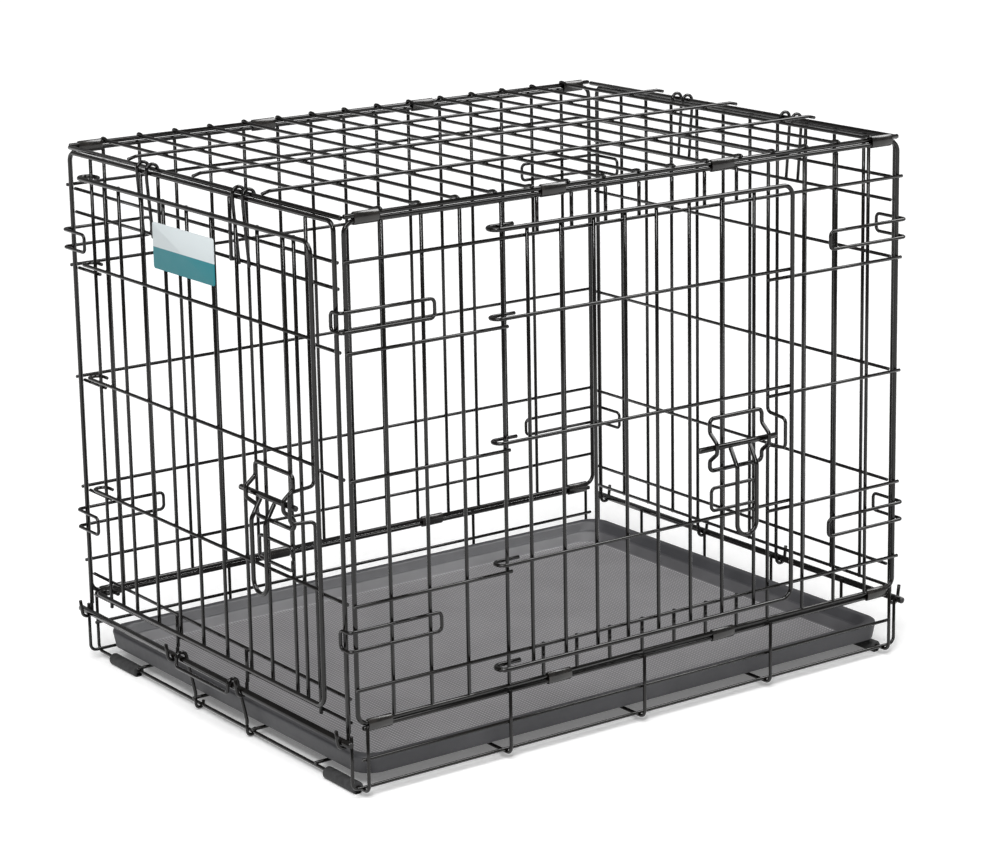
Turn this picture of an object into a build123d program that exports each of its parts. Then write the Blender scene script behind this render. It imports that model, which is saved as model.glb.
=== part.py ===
from build123d import *
import math
import os

os.makedirs("parts", exist_ok=True)

# Folding two-door wire crate, 24 x 18 x 19 inch class. Millimetres, +Z up, floor at z = 0.
# +X runs along the crate from the end door to the closed end, -Y is the long side with a door.

# Wire sizes, measured across the flats of each faceted wire
frame_wire = 4.0
upright_wire = 3.2
bar_wire = 3.0
sill_wire = 6.0
bolt_wire = 5.0
handle_wire = 3.4
weld = 0.03
clear = 0.4

# The long sides' outer wires, from which the crate is set out
side_y = 224.5
post_x = 290.0
low_bar_z = 64.6
high_bar_z = 475.0
floor_z = 6.0
rail_gap = 0.3

# Levels of the rails, the ends and the rows of wires
middle_z = (low_bar_z + high_bar_z) / 2
row_step = (high_bar_z - low_bar_z + 2.6) / 4
low_rail_z = low_bar_z - frame_wire - rail_gap
high_rail_z = high_bar_z + frame_wire + rail_gap
sill_z = low_rail_z - 10.3
end_top_z = high_bar_z
side_bars = [middle_z - 2.0 + row_step * row for row in (1, 0, -1)]
side_header = high_bar_z - 31.0
side_sill = low_bar_z + 29.9
front_headers = [end_top_z - 33.0, end_top_z - 54.0]
front_bars = [height - 1.0 for height in side_bars]
front_low_bars = [low_bar_z + 19.4, low_bar_z - 0.6]
loop_lows = [low_bar_z + 63.4, high_bar_z - 86.5]
loop_height = 16.0
loop_reaches = (side_y - 10.0, side_y - 35.5)
tray_row = low_rail_z - 26.6

# Spacing in the long sides and the top
grid_step = 36.6
grid_count = int((post_x - 20.0) // grid_step)
grid_spots = [grid_step * step for step in range(-grid_count, grid_count + 1)]
side_jamb = 140.5
side_inner = [35.0 * step for step in range(-3, 4)]
side_outer = [side_jamb + step for step in (40.5, 77.5, 115.0)]
top_step = 110.0
top_spots = [-top_step, 0.0, top_step]

# The end panels: planes, posts, legs and hooks
end_x = post_x + frame_wire
post_y = side_y - 8.3
end_frame_out = frame_wire / 2 - upright_wire / 2
sill_x = end_x + end_frame_out + frame_wire + clear + (sill_wire - frame_wire) / 2
front_hinge = -(post_y - 37.7)
front_jamb = post_y - 41.2
end_step = 39.15
leg_spots = [-1.5 * end_step, 1.5 * end_step]
rear_uprights = [sign * end_step * step for step in (0.5, 2.5, 3.5, 4.5) for sign in (-1, 1)]
hook_spots = [-87.0, -71.0, 71.0, 87.0]
post_foot = sill_z + 6.0
leg_foot = post_foot + 5.0
end_rail_x = end_x - 3.0
end_rail_z = end_top_z + 3.2

# Doors, with each upright as a distance from the hinge
door_bars = [height + 8.5 for height in side_bars]
side_door_right = side_jamb + 18.5
side_door_top = side_header + 9.0
side_door_bottom = side_sill - 11.0
side_door_steps = [20.5, 54.5, 88.0, 120.5, 153.5, 188.5, 223.5, 259.5]
front_door_right = front_jamb + 22.0
front_door_top = end_top_z - 18.0
front_door_bottom = low_bar_z + 10.4
front_door_steps = [35.5, 61.0, 100.0, 138.5, 177.5, 217.5, 256.5, 290.5, 329.5, 345.5]

# Latches, along the wall from the jamb they lock into and up from the bolt
guide_span = (-73.5, -15.5)
rest_span = (-71.5, -20.5)
bolt_span = (-89.5, -3.5)
handle_span = (-56.0, -34.5)
bolt_z = middle_z - 33.3
staple_out = 23.5
card_size = (101.0, 40.0)

# Pan
pan_front = -(post_x - 8.0)
pan_rear = post_x - 2.0
pan_half = side_y - 7.5
pan_low = floor_z + 1.5 * bar_wire + weld + 0.1
pan_height = 20.0
pan_wall = 2.5
pan_lip = 15.5

# Clips, tray wires, feet and stop
clip_lengths = {-(post_x - 20.2): 23.0, -89.0: 27.0, 89.0: 27.0, post_x - 20.2: 23.0}
cross_step = (post_x - 6.5) / 2
cross_spots = [cross_step * step for step in range(-2, 3)]
long_step = 100.0
long_spots = [long_step * step for step in (-1.5, -0.5, 0.5, 1.5)]
foot_width = 11.0
foot_length = 46.0
foot_spots = [-(side_y - 36.5), side_y - 48.5]
stop_y = 43.5

# Walls as planes: local x runs along the wall, local y up, local z outwards
side_wall = Plane(origin=(0, -side_y, 0), x_dir=(1, 0, 0), z_dir=(0, -1, 0))
back_wall = Plane(origin=(0, side_y, 0), x_dir=(-1, 0, 0), z_dir=(0, 1, 0))
front_wall = Plane(origin=(-end_x, 0, 0), x_dir=(0, -1, 0), z_dir=(-1, 0, 0))
rear_wall = Plane(origin=(end_x, 0, 0), x_dir=(0, 1, 0), z_dir=(1, 0, 0))

# Layers of the wire grids, outwards from each wall's plane
frame_out = upright_wire / 2 - frame_wire / 2
bar_out = upright_wire / 2 + bar_wire / 2 + weld
door_up_out = bar_out + bar_wire / 2 + clear + upright_wire / 2
door_face = door_up_out + upright_wire / 2 + weld
bolt_out = door_face + frame_wire + clear + bolt_wire / 2


pieces = {}


def save(piece, name):
    piece.part.label = name
    pieces[name] = piece.part


def bars_up(face, size, out, low, high, spots):
    """Straight wires along the wall's local y."""
    start = face.from_local_coords(Vector(0, low, out))
    with BuildSketch(Plane(start, face.x_dir, face.y_dir)) as profile:
        with Locations(*[(spot, 0) for spot in spots]):
            RegularPolygon(size / 2, 6, major_radius=False)
    extrude(profile.sketch, amount=high - low)


def bars_along(face, size, out, left, right, heights, sides=6):
    """Straight wires along the wall's local x."""
    start = face.from_local_coords(Vector(left, 0, out))
    with BuildSketch(Plane(start, face.y_dir, face.x_dir)) as profile:
        with Locations(*[(height, 0) for height in heights]):
            RegularPolygon(size / 2, sides, major_radius=False, rotation=180 / sides if sides == 8 else 0)
    extrude(profile.sketch, amount=right - left)


def rounded(points, radius, facets=2):
    """The route with each corner replaced by short straight facets."""
    route = [Vector(points[0])]
    for before, corner, after in zip(points, points[1:], points[2:]):
        before, corner, after = Vector(before), Vector(corner), Vector(after)
        first, second = (corner - before).normalized(), (after - corner).normalized()
        turn = math.radians(first.get_angle(second))
        cut = radius * math.tan(turn / 2)
        centre = corner - first * cut + (second - first * first.dot(second)).normalized() * radius
        arm = corner - first * cut - centre
        for step in range(facets + 1):
            angle = turn * step / facets
            route.append(centre + arm * math.cos(angle) + first * radius * math.sin(angle))
    route.append(Vector(points[-1]))
    return route


def bent(face, size, route, sides=6, across=None):
    """A faceted wire along a route given in the wall's local frame."""
    across = Vector(across) if across else Vector(0, 0, 1)
    points = [face.from_local_coords(Vector(point)) for point in route]
    normal = face.from_local_coords(across) - face.from_local_coords(Vector(0, 0, 0))
    heading = (points[1] - points[0]).normalized()
    with BuildLine() as path:
        Polyline(*points)
    with BuildSketch(Plane(points[0], normal.cross(heading), heading)) as profile:
        RegularPolygon(size / 2, sides, major_radius=False, rotation=180 / sides if sides == 8 else 0)
    sweep(sections=profile.sketch, path=path.wires()[0], transition=Transition.RIGHT)


def rod(start, heading, radius, length):
    """A true round wire."""
    with BuildSketch(Plane(start, z_dir=heading)) as profile:
        Circle(radius)
    extrude(profile.sketch, amount=length)


def arc(centre, radius, first, last, count):
    """Points on a circle, as (a, b) pairs, angles in degrees."""
    for step in range(count + 1):
        angle = math.radians(first + (last - first) * step / count)
        yield centre[0] + radius * math.cos(angle), centre[1] + radius * math.sin(angle)


def panel_frame(name, face):
    """The outer wire of a long side, butt welded half way along its bottom."""
    low, high, gap = low_bar_z, high_bar_z, weld / 2
    corners = [(gap, low), (post_x, low), (post_x, high), (-post_x, high), (-post_x, low), (-gap, low)]
    with BuildPart() as piece:
        bent(face, frame_wire, rounded([(u, v, frame_out) for u, v in corners], 8), sides=8)
    save(piece, name)


def staple_upright(name, face, spot, low, high):
    """The jamb upright, jogged outwards so that the bolt can pass behind it."""
    jog = [(low, 0), (bolt_z - 12.5, 0), (bolt_z - 10.5, staple_out), (bolt_z + 15.5, staple_out),
           (bolt_z + 17.5, 0), (high, 0)]
    with BuildPart() as piece:
        bent(face, upright_wire, rounded([(spot, v, n) for v, n in jog], 4))
    save(piece, name)


def corner_loops(name, face, reaches):
    """Closed wire loops that reach round each corner and stop the end panel's posts."""
    outer = end_x + end_frame_out + frame_wire / 2 + clear + bar_wire / 2
    inner, joint = post_x - 81.0, post_x - 50.0
    with BuildPart() as piece:
        for hand, reach in zip((-1, 1), reaches):
            short = reach - side_y
            for low in loop_lows:
                high = low + loop_height
                stops = [(-joint, high, bar_out), (-outer, high, bar_out), (-outer, high, short),
                         (-outer, low, short), (-outer, low, bar_out), (-inner, low, bar_out),
                         (-inner, high, bar_out), (-joint - weld, high, bar_out)]
                bent(face, bar_wire, rounded([(-hand * u, v, n) for u, v, n in stops], 4))
    save(piece, name)


def hinge_hook(spot, height, size, out, hook):
    """Route of a door bar's end, hooked round the hinge upright and back behind it."""
    back = -(upright_wire / 2 + 0.35 + size / 2)
    radius = (out - back) / 2
    centre = (spot - hook[0], (out + back) / 2)
    route = [(spot + hook[1], height, back)]
    route += [(u, height, n) for u, n in arc(centre, radius, -90, -270, 6)]
    return route


def door(name, face, hinge, right, low, high, steps, hook):
    """A door's bent frame, its uprights and its hooked crossbars."""
    frame_n = door_face + frame_wire / 2
    bar_n = door_face + bar_wire / 2
    uprights = [hinge + step for step in steps if hinge + step < right - 20]
    with BuildPart() as frame:
        top = hinge_hook(hinge, high, frame_wire, frame_n, hook)
        bottom = hinge_hook(hinge, low, frame_wire, frame_n, hook)
        edge = rounded([top[-1], (right, high, frame_n), (right, low, frame_n), bottom[-1]], 10, 3)
        bent(face, frame_wire, top + edge[1:-1] + bottom[::-1], sides=8)
    save(frame, f"{name}_frame")
    with BuildPart() as grid:
        bars_up(face, upright_wire, door_up_out, low - 1, high + 1, uprights)
    save(grid, f"{name}_uprights")
    with BuildPart() as bars:
        for height in door_bars:
            route = hinge_hook(hinge, height, bar_wire, bar_n, hook)
            bent(face, bar_wire, route + [(right - frame_wire / 2 - weld, height, bar_n)])
    save(bars, f"{name}_bars")


def latch(name, face, jamb):
    """The latch's guide and handle rest on the door, its bolt, and the bolt's handle."""
    wire_n = door_face + upright_wire / 2
    bow_n = bolt_out + bolt_wire / 2 + 0.35 + upright_wire / 2
    left, right = jamb + guide_span[0], jamb + guide_span[1]
    bow = [(bolt_z - 12.5, wire_n), (bolt_z - 4.5, bow_n), (bolt_z + 4.5, bow_n), (bolt_z + 12.5, wire_n)]
    middle, low, high = (left + right) / 2, bolt_z - 21.5, bolt_z + 24.5
    route = [(middle, low, wire_n), (right, low, wire_n)]
    route += [(right, v, n) for v, n in bow]
    route += [(right, high, wire_n), (left, high, wire_n)]
    route += [(left, v, n) for v, n in bow[::-1]]
    route += [(left, low, wire_n), (middle - weld, low, wire_n)]
    with BuildPart() as guide:
        bent(face, upright_wire, rounded(route, 3.5))
    save(guide, f"{name}_latch_guide")
    left, right = jamb + rest_span[0], jamb + rest_span[1]
    rest_n, low, high = door_face + bar_wire / 2, bolt_z - 57.5, bolt_z - 37.5
    route = [(right, low + 12), (right, high), (left, high), (left, low), (right, low), (right, low + 9)]
    with BuildPart() as rest:
        bent(face, bar_wire, rounded([(u, v, rest_n) for u, v in route], 4))
    save(rest, f"{name}_latch_rest")
    with BuildPart() as bolt:
        start = face.from_local_coords(Vector(jamb + bolt_span[0], bolt_z, bolt_out))
        rod(start, face.x_dir, bolt_wire / 2, bolt_span[1] - bolt_span[0])
    save(bolt, f"{name}_bolt")
    left, right = jamb + handle_span[0], jamb + handle_span[1]
    lean = Vector(0, -0.84, 0.54).normalized() * (bolt_wire / 2 + weld)
    hang_n = bolt_out + 11.0
    start, bend = (bolt_z + lean.Y, bolt_out + lean.Z), (bolt_z - 18.0, hang_n)
    curve = arc(((left + right) / 2, bolt_z - 68.5), (right - left) / 2, 180, 360, 6)
    route = [(left, *start), (left, *bend)] + [(u, v, hang_n) for u, v in curve]
    route += [(right, *bend), (right, *start)]
    with BuildPart() as handle:
        bent(face, handle_wire, route, across=(1, 0, 0))
    save(handle, f"{name}_bolt_handle")


def end_frame(name, face):
    """Posts and top bar of an end panel, one bent wire."""
    corners = [(-post_y, post_foot), (-post_y, end_top_z), (post_y, end_top_z), (post_y, post_foot)]
    with BuildPart() as piece:
        bent(face, frame_wire, rounded([(u, v, end_frame_out) for u, v in corners], 8, 3), sides=8)
    save(piece, name)


def end_hooks(name, face):
    """Wire hooks that hang an end panel on the top's end rail."""
    reach = end_frame_out + frame_wire / 2 + bar_wire / 2 + weld
    radius = 5.6
    over = [(v, n) for n, v in arc((reach - radius, end_rail_z - 1.0), radius, 0, 180, 6)]
    route = [(front_headers[1] - 2, 0), (end_top_z - 5, reach)] + over
    route += [(end_rail_z - 3.5, reach - 2 * radius)]
    with BuildPart() as piece:
        for spot in hook_spots:
            bent(face, bar_wire, [(spot, v, n) for v, n in route])
    save(piece, name)


def spring_hooks(name, face):
    """Springy tips of the posts and legs, curled under the sill rail."""
    centre = (sill_x - end_x, sill_z)
    radius = sill_wire / 2 + clear + upright_wire / 2
    curl = [(v, n) for n, v in arc(centre, radius, 180, 360, 6)]
    tip = (sill_z + 11.0, centre[0] + radius + 1.5)
    with BuildPart() as piece:
        for spot in (-post_y, *leg_spots, post_y):
            route = [(post_foot - weld, 0.8)] + curl + [tip]
            bent(face, upright_wire, [(spot, v, n) for v, n in route], across=(1, 0, 0))
    save(piece, name)


# Bottom grid: cross wires turned up at both long sides
with BuildPart() as cross_wires:
    reach = side_y + upright_wire / 2 + bar_wire / 2 + weld
    for spot in cross_spots:
        top = low_rail_z + frame_wire / 2
        stops = [(spot, -reach, top), (spot, -reach, floor_z), (spot, reach, floor_z), (spot, reach, top)]
        bent(Plane.XY, bar_wire, rounded(stops, 5), across=(0, 1, 0))
save(cross_wires, "tray_cross_wires")

# Bottom grid: long wires on top of them, turned up to the sill rails
with BuildPart() as long_wires:
    level = floor_z + bar_wire + weld
    turn = sill_x - sill_wire / 2 - bar_wire / 2 - weld
    top = sill_z + 5
    for spot in (-(side_y - 3), side_y - 3):
        stops = [(-turn, spot, top), (-turn, spot, level), (turn, spot, level), (turn, spot, top)]
        bent(Plane.XY, bar_wire, rounded(stops, 6), across=(1, 0, 0))
    for spot in long_spots:
        stops = [(cross_spots[0] - 3, spot, level), (turn, spot, level), (turn, spot, sill_z + 3)]
        bent(Plane.XY, bar_wire, rounded(stops, 6))
save(long_wires, "tray_long_wires")

# Low side walls of the tray: a middle wire and a hinge rail each
with BuildPart() as tray_rails:
    for face in (side_wall, back_wall):
        half = cross_spots[-1] + 4
        bars_along(face, bar_wire, weld * 2, -half, half, [tray_row])
        bars_along(face, frame_wire, frame_out, 2 - half, half - 2, [low_rail_z], sides=8)
save(tray_rails, "tray_side_rails")

for name, place in (("front", -sill_x), ("rear", sill_x)):
    with BuildPart() as sill:
        rod((place, -side_y - 3.5, sill_z), (0, 1, 0), sill_wire / 2, 2 * side_y + 7)
    save(sill, f"tray_{name}_sill_rail")

# Rubber sleeves on the end cross wires, flat where they meet the floor and low enough for the pan to pass
foot_height = pan_low - 0.33
number = 0
for x in (cross_spots[0], cross_spots[-1]):
    for y in foot_spots:
        number += 1
        start = Plane((x, y - foot_length / 2, floor_z), (1, 0, 0), (0, 1, 0))
        with BuildPart() as foot:
            with BuildSketch(start) as section:
                with Locations((0, floor_z - foot_height / 2)):
                    Rectangle(foot_width, foot_height)
                chamfer(section.vertices(), 2.6)
                RegularPolygon(bar_wire * 0.6, 8, major_radius=False, rotation=22.5, mode=Mode.SUBTRACT)
            extrude(amount=foot_length)
        save(foot, f"rubber_foot_{number}")

# Long side with the door
panel_frame("side_frame", side_wall)
with BuildPart() as side_uprights:
    base, crown = low_bar_z + frame_wire / 2 + weld, high_bar_z - frame_wire / 2 - weld
    both = [sign * spot for spot in side_outer for sign in (-1, 1)]
    bars_up(side_wall, upright_wire, 0, base, crown, both)
    bars_up(side_wall, upright_wire, 0, base, side_sill + 1, side_inner)
    bars_up(side_wall, upright_wire, 0, side_header - 1, crown, side_inner)
save(side_uprights, "side_uprights")
staple_upright("side_jamb", side_wall, side_jamb, base, crown)
with BuildPart() as side_pin:
    rod((-side_jamb, -side_y, base), (0, 0, 1), upright_wire / 2, crown - base)
save(side_pin, "side_hinge_upright")
with BuildPart() as side_rows:
    bar_end = post_x + 3
    bars_along(side_wall, bar_wire, bar_out, -bar_end, bar_end, [side_header, side_sill])
    bars_along(side_wall, bar_wire, bar_out, -bar_end, -side_jamb + 3, side_bars)
    bars_along(side_wall, bar_wire, bar_out, side_jamb - 3, bar_end, side_bars)
save(side_rows, "side_crossbars")
corner_loops("side_corner_loops", side_wall, loop_reaches)

# Closed long side
panel_frame("back_frame", back_wall)
with BuildPart() as back_uprights:
    bars_up(back_wall, upright_wire, 0, base, crown, grid_spots)
save(back_uprights, "back_uprights")
with BuildPart() as back_rows:
    bars_along(back_wall, bar_wire, bar_out, -bar_end, bar_end, [side_header, *side_bars, side_sill])
save(back_rows, "back_crossbars")
corner_loops("back_corner_loops", back_wall, (loop_reaches[1], loop_reaches[1]))

# Top: rails, cross wires between them, long wires over those, and a round rail at each end
top_low = high_rail_z + 1.5
top_high = top_low + bar_wire + weld
rail_y = side_y + frame_out
with BuildPart() as top_rails:
    bars_along(Plane.XY, frame_wire, high_rail_z, -post_x, post_x, [-rail_y, rail_y], sides=8)
save(top_rails, "top_side_rails")
with BuildPart() as top_cross:
    reach = rail_y - frame_wire / 2 - weld
    bars_up(Plane.XY, bar_wire, top_low, -reach, reach, grid_spots)
save(top_cross, "top_cross_wires")
with BuildPart() as top_long:
    tip = (end_rail_x - 1.5, end_rail_z + 3.8)
    for spot in top_spots:
        bent(Plane.XY, bar_wire, [(-tip[0], spot, tip[1]), (7 - tip[0], spot, top_high),
                                  (tip[0] - 7, spot, top_high), (tip[0], spot, tip[1])])
save(top_long, "top_long_wires")
for name, place in (("front", -end_rail_x), ("rear", end_rail_x)):
    with BuildPart() as end_rail:
        rod((place, -reach, end_rail_z), (0, 1, 0), frame_wire / 2, 2 * reach)
    save(end_rail, f"top_{name}_rail")

# Sheet metal clips that hinge the panels together along their rails
for name, face in (("side", side_wall), ("back", back_wall)):
    for level, height in (("low", (low_rail_z + low_bar_z) / 2), ("high", (high_rail_z + high_bar_z) / 2)):
        with BuildPart() as clips:
            for spot, length in clip_lengths.items():
                start = face.from_local_coords(Vector(spot - length / 2, height, frame_out))
                with BuildSketch(Plane(start, face.z_dir, face.x_dir)) as section:
                    Rectangle(frame_wire + 2.6, 2 * frame_wire + rail_gap + 2.6)
                    chamfer(section.vertices(), 1.8)
                    with BuildSketch(mode=Mode.SUBTRACT) as bore:
                        Rectangle(frame_wire + 0.8, 2 * frame_wire + rail_gap + 0.8)
                        chamfer(bore.vertices(), 1.1)
                extrude(amount=length)
        save(clips, f"{name}_{level}_clips")

# Front end panel, hung from the top's front rail
end_crown = end_top_z - frame_wire / 2 - weld
row_end = post_y - 0.5
end_frame("front_frame", front_wall)
with BuildPart() as front_uprights:
    bars_up(front_wall, upright_wire, 0, front_headers[1] - 1, end_crown, leg_spots)
    bars_up(front_wall, upright_wire, 0, post_foot, front_low_bars[0] + 1, leg_spots)
save(front_uprights, "front_uprights")
staple_upright("front_jamb", front_wall, front_jamb, leg_foot, end_crown)
with BuildPart() as front_pin:
    rod((-end_x, -front_hinge, leg_foot), (0, 0, 1), upright_wire / 2, end_crown - leg_foot)
save(front_pin, "front_hinge_upright")
with BuildPart() as front_rows:
    bars_along(front_wall, bar_wire, -bar_out, -row_end, row_end, front_headers + front_low_bars)
    bars_along(front_wall, bar_wire, -bar_out, -row_end, front_hinge + 3, front_bars)
    bars_along(front_wall, bar_wire, -bar_out, front_jamb - 3, row_end, front_bars)
save(front_rows, "front_crossbars")
end_hooks("front_hang_hooks", front_wall)
spring_hooks("front_spring_hooks", front_wall)

# Rear end panel
end_frame("rear_frame", rear_wall)
with BuildPart() as rear_grid:
    bars_up(rear_wall, upright_wire, 0, leg_foot, end_crown, rear_uprights)
    bars_up(rear_wall, upright_wire, 0, post_foot, end_crown, leg_spots)
save(rear_grid, "rear_uprights")
with BuildPart() as rear_rows:
    bars_along(rear_wall, bar_wire, -bar_out, -row_end, row_end, front_headers + front_bars + front_low_bars)
save(rear_rows, "rear_crossbars")
end_hooks("rear_hang_hooks", rear_wall)
spring_hooks("rear_spring_hooks", rear_wall)

# Doors and latches
door("side_door", side_wall, -side_jamb, side_door_right, side_door_bottom, side_door_top,
     side_door_steps, (6.9, 14.5))
door("front_door", front_wall, front_hinge, front_door_right, front_door_bottom, front_door_top,
     front_door_steps, (1.5, 6.0))
latch("side", side_wall, side_jamb)
latch("front", front_wall, front_jamb)

# Blank two-tone card clipped to the end door
with BuildPart() as card:
    spot = front_wall.from_local_coords(Vector(-5, front_headers[1] - 4, door_face))
    with BuildSketch(Plane(spot, front_wall.x_dir, front_wall.z_dir)):
        Rectangle(*card_size)
    extrude(amount=1.0)
save(card, "label_card")

# Moulded pan: a flat floor, sloped walls, and a wide rim with a lip that hangs clear of the wires
pan_length, pan_middle = pan_rear - pan_front, (pan_rear + pan_front) / 2


def pan_block(levels):
    """A stack of cornered rectangles, each as (height, distance in from the rim's edge, corner size)."""
    for below, above in zip(levels, levels[1:]):
        outlines = []
        for height, inset, corner in (below, above):
            long, wide = pan_length / 2 - inset, pan_half - inset
            quarter = list(arc((long - corner, wide - corner), corner, 0, 90, 3))
            ring = quarter + [(-x, y) for x, y in quarter[::-1]]
            ring += [(-x, -y) for x, y in ring]
            with BuildSketch(Plane((pan_middle, 0, height))) as outline:
                Polygon(*ring, align=None)
            outlines.append(outline.sketch)
        loft(sections=outlines, ruled=True)


rim_z = pan_low + pan_height
with BuildPart() as pan_inside:
    pan_block([(pan_low + pan_wall, 22, 14), (rim_z + 1, 9, 17)])
with BuildPart() as rim_hollow:
    pan_block([(pan_low - 1, 6, 14), (rim_z - pan_wall, 3, 17)])
with BuildPart() as rim_core:
    pan_block([(pan_low, 19.5, 14), (rim_z, 6.5, 17)])
with BuildPart() as pan:
    pan_block([(rim_z - pan_lip, 2, 17), (rim_z - 4, 0.4, 17.8), (rim_z, 0, 18)])
    add(rim_core.part)
    add(pan_inside.part, mode=Mode.SUBTRACT)
    add(rim_hollow.part - rim_core.part, mode=Mode.SUBTRACT)
save(pan, "pan")

# Pan stop: one wire looped over the front sill rail, with springy tips round the first cross wire
stop_x = cross_spots[0] - 3.75
with BuildPart() as stop:
    over = list(arc((-sill_x, sill_z + 1), 5.05, 0, 180, 6))
    arm = [(stop_x, 12), (stop_x, 16)] + over + [(-sill_x - 5.6, sill_z - 6)]
    route = [(x, stop_y, z) for x, z in arm] + [(x, -stop_y, z) for x, z in arm[::-1]]
    bent(Plane.XY, upright_wire, route, across=(0, 1, 0))
save(stop, "pan_stop")
with BuildPart() as tips:
    curl = list(arc((cross_spots[0], floor_z), 3.75, 180, 360, 6))
    for y in (-stop_y, stop_y):
        route = [(stop_x, 12 - weld)] + curl + [(cross_spots[0] + 3.75, floor_z + 2)]
        bent(Plane.XY, 2.8, [(x, y, z) for x, z in route], across=(1, 0, 0))
save(tips, "pan_stop_tips")

# Every part is written in one frame whose origin is on the floor, under the middle of the whole crate
box = Compound(list(pieces.values())).bounding_box()
shift = Location((-(box.min.X + box.max.X) / 2, -(box.min.Y + box.max.Y) / 2, 0))
for name, piece in pieces.items():
    export_step(piece.moved(shift), f"parts/{name}.step")
print(len(pieces), "parts, moved by", shift.position, "from", box.min, box.max)
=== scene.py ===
import math

import bmesh
import bpy
from mathutils import Matrix, Vector


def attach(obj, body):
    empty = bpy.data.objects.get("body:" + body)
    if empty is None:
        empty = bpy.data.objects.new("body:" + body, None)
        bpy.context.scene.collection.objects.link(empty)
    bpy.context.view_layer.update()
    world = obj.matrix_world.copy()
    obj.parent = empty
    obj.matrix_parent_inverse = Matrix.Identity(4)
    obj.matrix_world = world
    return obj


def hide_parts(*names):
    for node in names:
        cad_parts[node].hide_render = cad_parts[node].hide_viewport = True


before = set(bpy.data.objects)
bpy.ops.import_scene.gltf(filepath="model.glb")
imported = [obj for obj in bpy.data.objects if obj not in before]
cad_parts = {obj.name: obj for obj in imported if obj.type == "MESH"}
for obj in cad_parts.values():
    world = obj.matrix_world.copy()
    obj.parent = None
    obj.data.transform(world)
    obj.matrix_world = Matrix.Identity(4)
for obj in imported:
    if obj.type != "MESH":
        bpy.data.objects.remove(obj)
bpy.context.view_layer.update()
scene = bpy.context.scene
scene.view_settings.view_transform = "Standard"
print("frame loaded")

mm = 0.001

# Sizes in millimetres, set out about the middle of the wire box, which the frame's origin is offset from
originX, originY = 6.9962, 11.7465
frameR, uprightR, barR, sillR, boltR, handleR, guideR = 2.0, 1.6, 1.5, 3.0, 2.5, 1.95, 1.85
# The gap between wires that touch, the play round a hinge or bolt, and how far a wire runs past its last weld
hair, slack, lap, barPast = 0.03, 0.35, 1, 3
sideY, endX, postX, postY, sillX = 224.5, 294.0, 290.0, 216.2, 299.8
frameOut, barOut, endFrameOut = -0.4, 3.13, 0.4
doorUpOut, doorFace, boltOut = 6.63, 8.26, 15.16
railY = sideY + frameOut
floorZ, sillZ, lowBarZ, highBarZ, lowRailZ, highRailZ = 6.0, 50.0, 64.6, 475.0, 60.3, 479.3
endTopZ, headerZ, sideSillZ = 475.0, 444.0, 94.5
boltZ, topLow, topHigh = 236.5, 480.8, 483.83
endRailX, endRailZ, crossStep = 291.0, 478.2, 141.75
sideInner = [-105, -70, -35, 0, 35, 70, 105]
gridSteps = [36.6 * step for step in range(-7, 8)]
sideBars = [371.05, 267.8, 164.55]
endBars = [height - 1 for height in sideBars]
doorBars = [height + 8.5 for height in sideBars]
legSpots = [-58.725, 58.725]
topSpots = [-110, 0, 110]

# Each wall: a point on it, the way along it and the way out of it
walls = {
    "side": (Vector((0, -sideY, 0)), Vector((1, 0, 0)), Vector((0, -1, 0))),
    "back": (Vector((0, sideY, 0)), Vector((-1, 0, 0)), Vector((0, 1, 0))),
    "front": (Vector((-endX, 0, 0)), Vector((0, -1, 0)), Vector((-1, 0, 0))),
    "rear": (Vector((endX, 0, 0)), Vector((0, 1, 0)), Vector((1, 0, 0))),
}


def onWall(wall, route):
    origin, along, out = walls[wall]
    return [origin + along * u + Vector((0, 0, v)) + out * n for u, v, n in route]


def rounded(points, radius, steps=7):
    points = [Vector(point) for point in points]
    route = [points[0]]
    for before, corner, after in zip(points, points[1:], points[2:]):
        first, second = (corner - before).normalized(), (after - corner).normalized()
        turn = first.angle(second)
        cut = radius * math.tan(turn / 2)
        side = (second - first * first.dot(second)).normalized()
        centre = corner - first * cut + side * radius
        for step in range(steps + 1):
            angle = turn * step / steps
            route.append(centre - side * radius * math.cos(angle) + first * radius * math.sin(angle))
    return route + [points[-1]]


def arc(centre, radius, first, last, count=14):
    angles = [math.radians(first + (last - first) * step / count) for step in range(count + 1)]
    return [(centre[0] + radius * math.cos(angle), centre[1] + radius * math.sin(angle)) for angle in angles]


def uprights(wall, spots, low, high, out=0.0):
    return [onWall(wall, [(spot, low, out), (spot, high, out)]) for spot in spots]


def crossbars(wall, heights, left, right, out):
    return [onWall(wall, [(left, height, out), (right, height, out)]) for height in heights]


# Materials: sRGB codes to linear, and one way of adding a node with its settings and links
def linear(code):
    parts = [int(code[place:place + 2], 16) / 255 for place in (1, 3, 5)]
    return [part / 12.92 if part <= 0.04045 else ((part + 0.055) / 1.055) ** 2.4 for part in parts] + [1]


def addNode(tree, kind, links=None, **settings):
    node = tree.nodes.new("ShaderNode" + kind)
    for name, value in settings.items():
        if hasattr(node, name):
            setattr(node, name, value)
        else:
            node.inputs[name.replace("_", " ")].default_value = value
    for socket, source in (links or {}).items():
        tree.links.new(source, node.inputs[socket])
    return node


def newMaterial(name):
    material = bpy.data.materials.new(name)
    material.use_nodes = True
    tree = material.node_tree
    place = addNode(tree, "TexCoord").outputs["Object"]
    return material, tree, tree.nodes["Principled BSDF"], place


def perMm(size):
    return 1000 / size  # a texture scale for features of this many millimetres


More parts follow.
